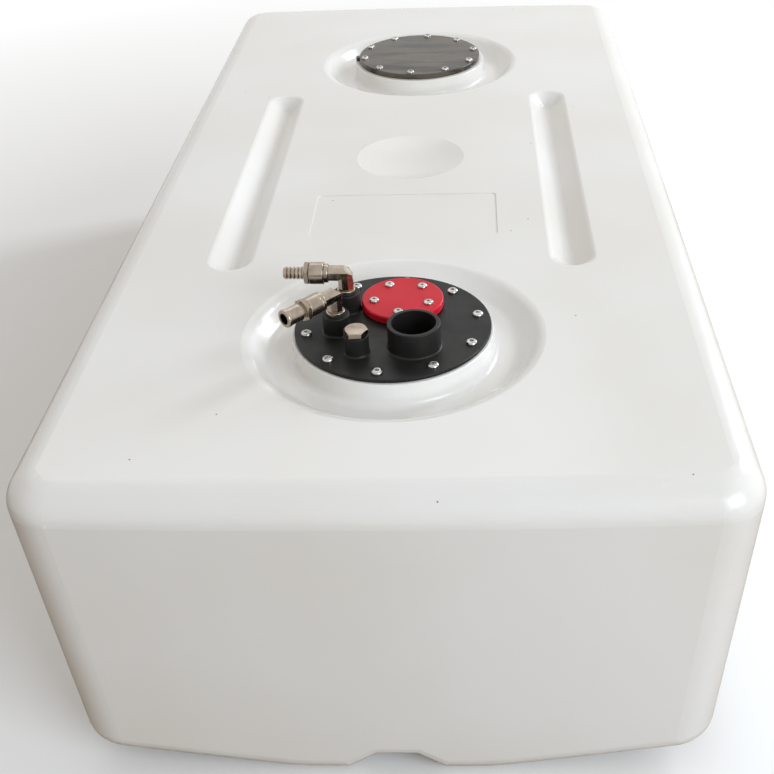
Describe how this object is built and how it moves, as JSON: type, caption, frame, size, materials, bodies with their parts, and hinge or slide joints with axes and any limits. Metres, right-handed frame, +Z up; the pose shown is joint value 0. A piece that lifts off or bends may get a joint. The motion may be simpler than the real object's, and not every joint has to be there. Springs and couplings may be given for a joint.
{
  "type": "fuel tank",
  "caption": "Long rotomoulded fuel tank with a black port plate, filler spigot, swivelling hose elbows, red sender cover and a rear hatch lid.",
  "frame": {"origin": "middle of the tank's footprint, on the ground it stands on", "axes": "+Z up, +Y along the tank from the port plate's end to the rear lid's end, +X to the right seen from the port plate's end"},
  "size_m": [0.6332, 1.339, 0.4115],
  "materials": {
    "natural_polyethylene": "milky, smooth",
    "black_plastic": "satin",
    "black_lid_plastic": "glossy",
    "red_plastic": "satin",
    "seal_rubber": "matt",
    "brass": "turned",
    "stainless_steel": "satin",
    "spring_steel": "satin",
    "nickel_plate": "bright nickel",
    "aluminium_pipe": "drawn"
  },
  "bodies": {
    "tank": {"tank_shell": "natural_polyethylene", "front_inserts": "brass", "front_gasket": "seal_rubber", "port_plate": "black_plastic", "front_screws": "stainless_steel", "sender_gasket": "seal_rubber", "sender_cover": "red_plastic", "sender_screws": "stainless_steel", "plug_seal": "seal_rubber", "blanking_plug": "nickel_plate", "supply_seal": "seal_rubber", "supply_stem": "nickel_plate", "supply_oring": "seal_rubber", "supply_pipe": "aluminium_pipe", "supply_strainer": "aluminium_pipe", "return_seal": "seal_rubber", "return_stem": "nickel_plate", "return_oring": "seal_rubber", "return_pipe": "aluminium_pipe", "rear_inserts": "brass", "rear_gasket": "seal_rubber", "rear_lid": "black_lid_plastic", "rear_screws": "stainless_steel"},
    "supply_fitting": {"supply_clip": "spring_steel", "supply_elbow": "nickel_plate", "supply_sleeve": "nickel_plate", "supply_washer": "seal_rubber", "supply_tail": "nickel_plate"},
    "return_fitting": {"return_clip": "spring_steel", "return_elbow": "nickel_plate", "return_sleeve": "nickel_plate", "return_washer": "seal_rubber", "return_tail": "nickel_plate"}
  },
  "joints": [
    {"name": "supply_swivel", "type": "hinge", "parent": "tank", "child": "supply_fitting", "pos_m": [-0.053, -0.4274, 0.3994], "axis": [0, 0, 1], "range_deg": [-44, 116]},
    {"name": "return_swivel", "type": "hinge", "parent": "tank", "child": "return_fitting", "pos_m": [-0.0462, -0.3859, 0.3994], "axis": [0, 0, 1], "range_deg": [-157, 8]}
  ]
}
